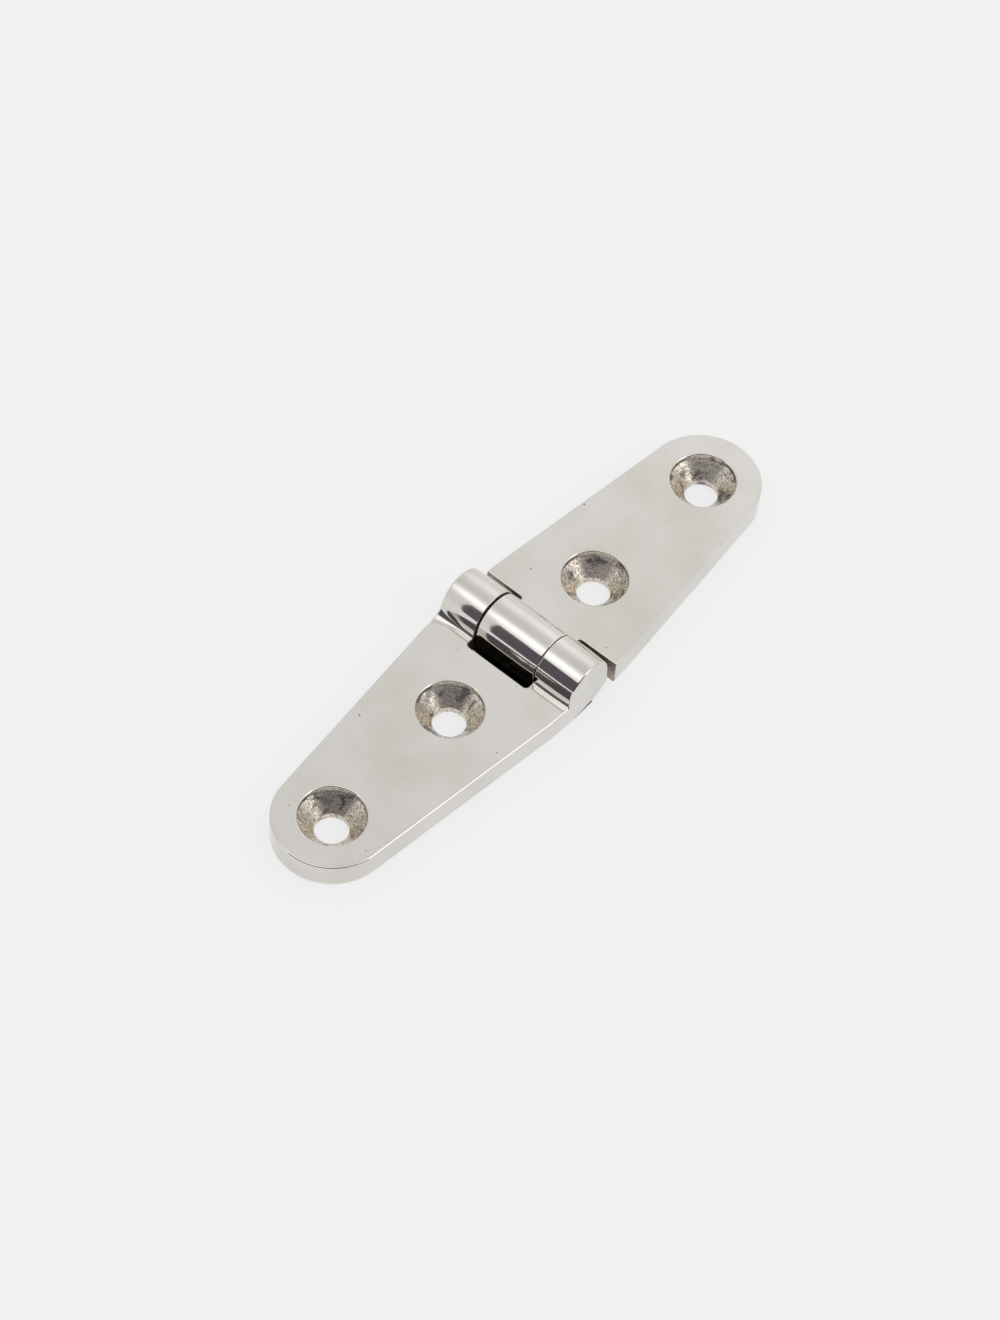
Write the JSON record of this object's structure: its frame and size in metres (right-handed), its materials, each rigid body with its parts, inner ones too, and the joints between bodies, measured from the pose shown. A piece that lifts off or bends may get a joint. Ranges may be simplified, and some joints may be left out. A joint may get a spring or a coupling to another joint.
{
  "type": "strap hinge",
  "caption": "Cast stainless strap hinge with two tapered, round-tipped leaves, countersunk screw holes, a raised interlocking barrel and a hidden pin.",
  "frame": {"origin": "on the mounting plane, midway along the pin and straight under its axis, with the hinge lying flat open", "axes": "+X along the hinge towards the tip of the leaf with the centre knuckle, +Y along the pin towards the end that the pin was driven in from, +Z out of the mounting plane"},
  "size_m": [0.102, 0.0254, 0.0099],
  "materials": {
    "polished_stainless": "cast stainless, polished to a near mirror, machined bare in the countersinks",
    "drawn_stainless": "drawn stainless bar, satin"
  },
  "bodies": {
    "leaf_a": {"leaf_with_outer_knuckles": "polished_stainless", "hinge_pin": "drawn_stainless"},
    "leaf_b": {"leaf_with_centre_knuckle": "polished_stainless"}
  },
  "joints": [
    {"name": "leaf_fold", "type": "hinge", "parent": "leaf_a", "child": "leaf_b", "pos_m": [0, 0, 0.00595], "axis": [0, -1, 0], "range_deg": [0, 180]}
  ]
}
